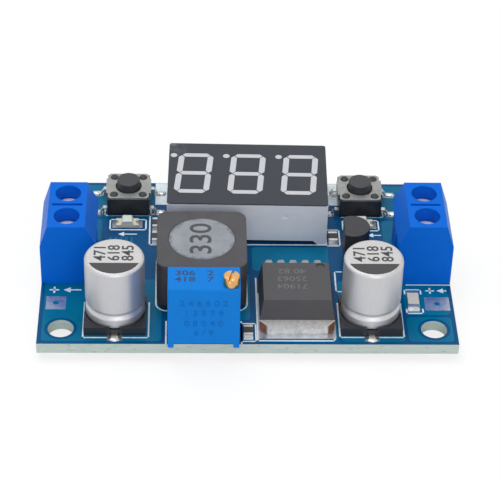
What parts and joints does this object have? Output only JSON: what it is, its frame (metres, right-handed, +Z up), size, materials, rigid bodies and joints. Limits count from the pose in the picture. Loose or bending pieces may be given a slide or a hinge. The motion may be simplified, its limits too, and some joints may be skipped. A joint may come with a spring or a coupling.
{
  "type": "buck converter module",
  "caption": "Step-down converter board with a digital voltmeter, push buttons, a trimmer, and screw terminals at its input and output ends.",
  "frame": {"origin": "centre of the four corner holes, on the underside of the board", "axes": "+X along the board towards the input terminal, +Y towards the edge with the display, +Z up through the parts"},
  "size_m": [0.0562, 0.0368, 0.0143],
  "materials": {
    "board": "gloss blue solder mask on glass fibre",
    "tinned_pad": "tinned copper",
    "solder": "bright solder",
    "terminal_plastic": "moulded, semi-gloss",
    "contact_metal": "tinned brass strip",
    "cage_metal": "zinc plated",
    "screw_steel": "zinc plated",
    "black_plastic": "moulded",
    "can_aluminium": "satin drawn aluminium with a dark polarity mark",
    "tinned_lead": "tinned copper",
    "ferrite": "fired ferrite, slightly rough",
    "ferrite_drum": "ground ferrite",
    "copper_wire": "enamelled copper",
    "trimmer_plastic": "moulded, semi-gloss",
    "trimmer_brass": "turned brass",
    "display_plastic": "moulded",
    "display_film": "printed film",
    "display_segment": "unlit translucent resin",
    "moulded_black": "moulded, fine matt",
    "tab_metal": "tinned copper with bare cut ends",
    "switch_steel": "rolled steel",
    "button_plastic": "moulded",
    "spring_steel": "rolled stainless strip",
    "led_base": "white laminate",
    "led_lens": "clear resin over a pale green chip",
    "chip_ceramic": "glazed resistor body"
  },
  "bodies": {
    "board": {"circuit_board": "board", "solder_pads": "tinned_pad", "solder_joints": "solder", "output_terminal_housing": "terminal_plastic", "input_terminal_housing": "terminal_plastic", "output_terminal_contacts": "contact_metal", "input_terminal_contacts": "contact_metal", "output_capacitor_base": "black_plastic", "input_capacitor_base": "black_plastic", "output_capacitor_can": "can_aluminium", "input_capacitor_can": "can_aluminium", "output_capacitor_leads": "tinned_lead", "input_capacitor_leads": "tinned_lead", "inductor_shield": "ferrite", "inductor_drum": "ferrite_drum", "inductor_winding": "copper_wire", "inductor_base": "black_plastic", "inductor_terminals": "tinned_lead", "trimmer_housing": "trimmer_plastic", "trimmer_pins": "tinned_lead", "display_housing": "display_plastic", "display_face": "display_film", "display_segments": "display_segment", "display_pins": "tinned_lead", "regulator_body": "moulded_black", "regulator_tab": "tab_metal", "regulator_leads": "tinned_lead", "left_switch_base": "black_plastic", "right_switch_base": "black_plastic", "left_switch_cover": "switch_steel", "right_switch_cover": "switch_steel", "left_switch_dome": "spring_steel", "right_switch_dome": "spring_steel", "left_switch_legs": "tinned_lead", "right_switch_legs": "tinned_lead", "small_regulator_body": "moulded_black", "small_regulator_legs": "tinned_lead", "led_bases": "led_base", "led_lenses": "led_lens", "chip_bodies": "chip_ceramic", "chip_ends": "tinned_lead", "diode_body": "moulded_black", "diode_leads": "tinned_lead", "controller_body": "moulded_black", "controller_leads": "tinned_lead"},
    "output_plus_screw": {"output_plus_screw": "screw_steel"},
    "output_plus_cage": {"output_plus_cage": "cage_metal"},
    "output_minus_screw": {"output_minus_screw": "screw_steel"},
    "output_minus_cage": {"output_minus_cage": "cage_metal"},
    "input_plus_screw": {"input_plus_screw": "screw_steel"},
    "input_plus_cage": {"input_plus_cage": "cage_metal"},
    "input_minus_screw": {"input_minus_screw": "screw_steel"},
    "input_minus_cage": {"input_minus_cage": "cage_metal"},
    "left_switch_button": {"left_switch_button": "button_plastic"},
    "right_switch_button": {"right_switch_button": "button_plastic"},
    "trimmer_screw": {"trimmer_screw": "trimmer_brass"}
  },
  "joints": [
    {"name": "output_plus_screw_turn", "type": "hinge", "parent": "board", "child": "output_plus_screw", "pos_m": [-0.0245, -0.00289, 0.0086], "axis": [0, 0, -1], "range_deg": [0, 1368]},
    {"name": "output_plus_cage_lift", "type": "slide", "parent": "board", "child": "output_plus_cage", "axis": [0, 0, 1], "range_m": [0, 0.0019]},
    {"name": "output_minus_screw_turn", "type": "hinge", "parent": "board", "child": "output_minus_screw", "pos_m": [-0.0245, 0.00219, 0.0086], "axis": [0, 0, -1], "range_deg": [0, 1368]},
    {"name": "output_minus_cage_lift", "type": "slide", "parent": "board", "child": "output_minus_cage", "axis": [0, 0, 1], "range_m": [0, 0.0019]},
    {"name": "input_plus_screw_turn", "type": "hinge", "parent": "board", "child": "input_plus_screw", "pos_m": [0.0245, -0.00259, 0.0086], "axis": [0, 0, -1], "range_deg": [0, 1368]},
    {"name": "input_plus_cage_lift", "type": "slide", "parent": "board", "child": "input_plus_cage", "axis": [0, 0, 1], "range_m": [0, 0.0019]},
    {"name": "input_minus_screw_turn", "type": "hinge", "parent": "board", "child": "input_minus_screw", "pos_m": [0.0245, 0.00249, 0.0086], "axis": [0, 0, -1], "range_deg": [0, 1368]},
    {"name": "input_minus_cage_lift", "type": "slide", "parent": "board", "child": "input_minus_cage", "axis": [0, 0, 1], "range_m": [0, 0.0019]},
    {"name": "left_button_press", "type": "slide", "parent": "board", "child": "left_switch_button", "axis": [0, 0, -1], "range_m": [0, 0.00025], "stiffness_N_per_m": 6000, "deforming": ["left_switch_dome"]},
    {"name": "right_button_press", "type": "slide", "parent": "board", "child": "right_switch_button", "axis": [0, 0, -1], "range_m": [0, 0.00025], "stiffness_N_per_m": 6000, "deforming": ["right_switch_dome"]},
    {"name": "trimmer_screw_turn", "type": "hinge", "parent": "board", "child": "trimmer_screw", "pos_m": [-0.00241, -0.0174, 0.01163], "axis": [0, 0, 1], "continuous": true}
  ],
  "couplings": [
    {"joint": "output_plus_screw_turn", "follows": "output_plus_cage_lift", "rad_per_m": 12566},
    {"joint": "output_minus_screw_turn", "follows": "output_minus_cage_lift", "rad_per_m": 12566},
    {"joint": "input_plus_screw_turn", "follows": "input_plus_cage_lift", "rad_per_m": 12566},
    {"joint": "input_minus_screw_turn", "follows": "input_minus_cage_lift", "rad_per_m": 12566}
  ]
}
